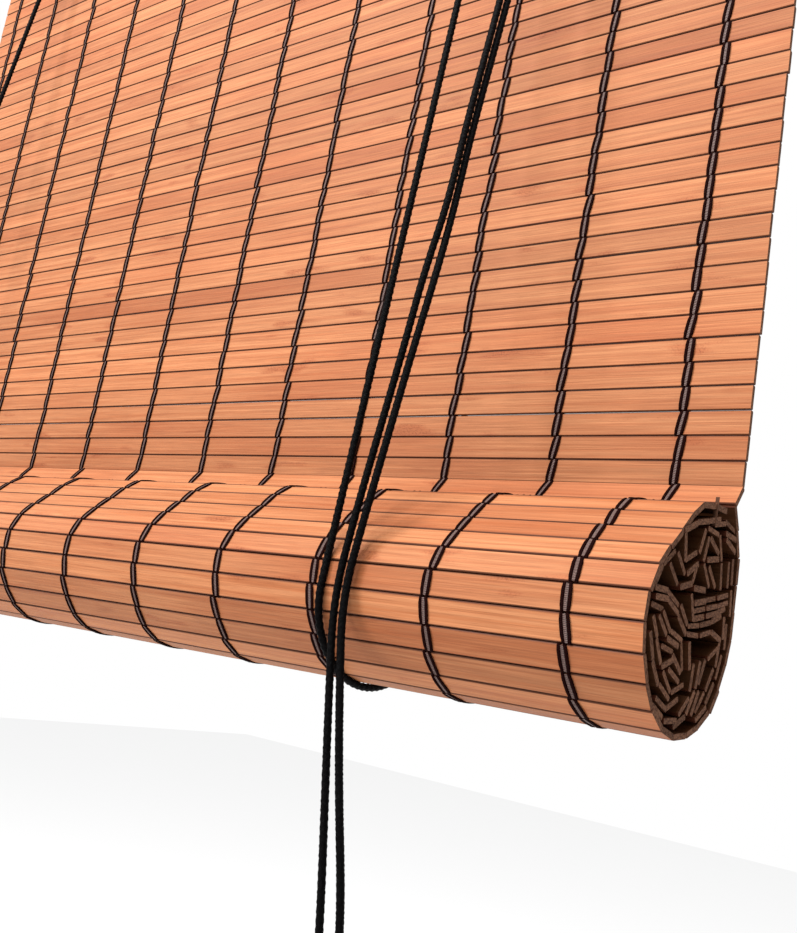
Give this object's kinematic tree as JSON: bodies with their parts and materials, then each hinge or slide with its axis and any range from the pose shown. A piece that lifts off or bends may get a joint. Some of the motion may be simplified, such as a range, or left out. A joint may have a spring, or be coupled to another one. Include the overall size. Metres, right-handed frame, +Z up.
{
  "type": "bamboo roll up blind",
  "caption": "Slatted bamboo blind stitched with double threads, rolled up from below in two lift cords that run over pulleys and a cord lock on its headrail.",
  "frame": {"origin": "midway between the two wall screw holes of the hangers, on the wall plane", "axes": "+X to the right seen from the room along the slats, +Y into the wall, +Z up"},
  "size_m": [0.6, 0.0919, 0.752],
  "materials": {
    "bamboo": "satin, split bamboo",
    "rail_wood": "satin",
    "thread": "waxed thread",
    "cord": "braided",
    "plated_steel": "zinc plated",
    "steel_pins": "turned",
    "wheel_plastic": "moulded",
    "pull_wood": "lacquered"
  },
  "bodies": {
    "root": {"headrail": "rail_wood", "hanger_left": "plated_steel", "hanger_right": "plated_steel", "hanger_screws": "plated_steel", "curtain_screws": "plated_steel", "slats_01": "bamboo", "slats_02": "bamboo", "slats_03": "bamboo", "slats_04": "bamboo", "slats_05": "bamboo", "slats_06": "bamboo", "slats_07": "bamboo", "slats_08": "bamboo", "slats_09": "bamboo", "slats_10": "bamboo", "slats_11": "bamboo", "slats_12": "bamboo", "slats_13": "bamboo", "slats_14": "bamboo", "slats_15": "bamboo", "slats_16": "bamboo", "warp_threads": "thread", "lock_bracket": "plated_steel", "lock_screws": "plated_steel", "wheel_spacer": "steel_pins", "wheel_pin": "steel_pins", "cam_pin": "steel_pins", "side_bracket": "plated_steel", "side_screws": "plated_steel", "side_pin": "steel_pins", "lift_cord_right": "cord", "lift_cord_left": "cord", "cord_knots": "cord", "cross_cord": "cord", "pull_cord_a": "cord", "pull_cord_b": "cord"},
    "tilted_slat": {"turning_slat_1": "bamboo", "thread_loops_1": "thread"},
    "back_slat_1": {"turning_slat_2": "bamboo", "thread_loops_2": "thread"},
    "back_slat_2": {"turning_slat_3": "bamboo", "thread_loops_3": "thread"},
    "back_slat_3": {"turning_slat_4": "bamboo", "thread_loops_4": "thread"},
    "back_slat_4": {"turning_slat_5": "bamboo", "thread_loops_5": "thread"},
    "roll": {"rolled_turns": "bamboo"},
    "front_wheel": {"front_wheel": "wheel_plastic"},
    "rear_wheel": {"rear_wheel": "wheel_plastic"},
    "side_wheel": {"side_wheel": "wheel_plastic"},
    "cam": {"lock_cam": "steel_pins"},
    "pull": {"cord_hank": "cord", "hank_tie": "cord", "pull_cord_ends": "cord", "cord_pull": "pull_wood"}
  },
  "joints": [
    {"name": "roll_wind", "type": "hinge", "parent": "root", "child": "roll", "pos_m": [0, -0.01981, -0.45402], "axis": [-1, 0, 0], "range_deg": [0, 65.68], "deforming": ["lift_cord_right", "lift_cord_left"]},
    {"name": "wind_1", "type": "hinge", "parent": "root", "child": "tilted_slat", "pos_m": [0, -0.013, -0.4384], "axis": [-1, 0, 0], "range_deg": [-21.82, 0]},
    {"name": "wind_2", "type": "hinge", "parent": "tilted_slat", "child": "back_slat_1", "pos_m": [0, -0.0184, -0.44572], "axis": [-1, 0, 0], "range_deg": [0, 88.39]},
    {"name": "wind_5", "type": "hinge", "parent": "roll", "child": "back_slat_4", "pos_m": [0, -0.01031, -0.48033], "axis": [-1, 0, 0], "range_deg": [-10.2, 0]},
    {"name": "wind_4", "type": "hinge", "parent": "back_slat_4", "child": "back_slat_3", "pos_m": [0, -0.01031, -0.47123], "axis": [-1, 0, 0], "range_deg": [-8.03, 0]},
    {"name": "wind_3", "type": "hinge", "parent": "back_slat_3", "child": "back_slat_2", "pos_m": [0, -0.01061, -0.46213], "axis": [-1, 0, 0], "range_deg": [0, 7.89]},
    {"name": "front_wheel_turn", "type": "hinge", "parent": "root", "child": "front_wheel", "pos_m": [0.182, -0.034, -0.056], "axis": [0, 1, 0], "range_deg": [0, 383.43]},
    {"name": "rear_wheel_turn", "type": "hinge", "parent": "root", "child": "rear_wheel", "pos_m": [0.182, -0.024, -0.056], "axis": [0, 1, 0], "range_deg": [0, 383.43]},
    {"name": "side_wheel_turn", "type": "hinge", "parent": "root", "child": "side_wheel", "pos_m": [-0.203, -0.03, -0.056], "axis": [0, 1, 0], "range_deg": [0, 383.43]},
    {"name": "lock_release", "type": "hinge", "parent": "root", "child": "cam", "pos_m": [0.209, -0.029, -0.056], "axis": [0, -1, 0], "range_deg": [0, 35]},
    {"name": "pull_drop", "type": "slide", "parent": "root", "child": "pull", "axis": [0, 0, -1], "range_m": [0, 0.0804], "deforming": ["pull_cord_a", "pull_cord_b"]}
  ],
  "couplings": [
    {"joint": "wind_1", "follows": "roll_wind", "ratio": -0.33206},
    {"joint": "wind_2", "follows": "roll_wind", "ratio": 1.3456},
    {"joint": "wind_3", "follows": "roll_wind", "ratio": 0.11998},
    {"joint": "wind_4", "follows": "roll_wind", "ratio": -0.12211},
    {"joint": "wind_5", "follows": "roll_wind", "ratio": -0.15515},
    {"joint": "front_wheel_turn", "follows": "roll_wind", "ratio": 5.8302},
    {"joint": "rear_wheel_turn", "follows": "roll_wind", "ratio": 5.8302},
    {"joint": "side_wheel_turn", "follows": "roll_wind", "ratio": 5.8302},
    {"joint": "pull_drop", "follows": "roll_wind", "m_per_rad": 0.069962}
  ]
}
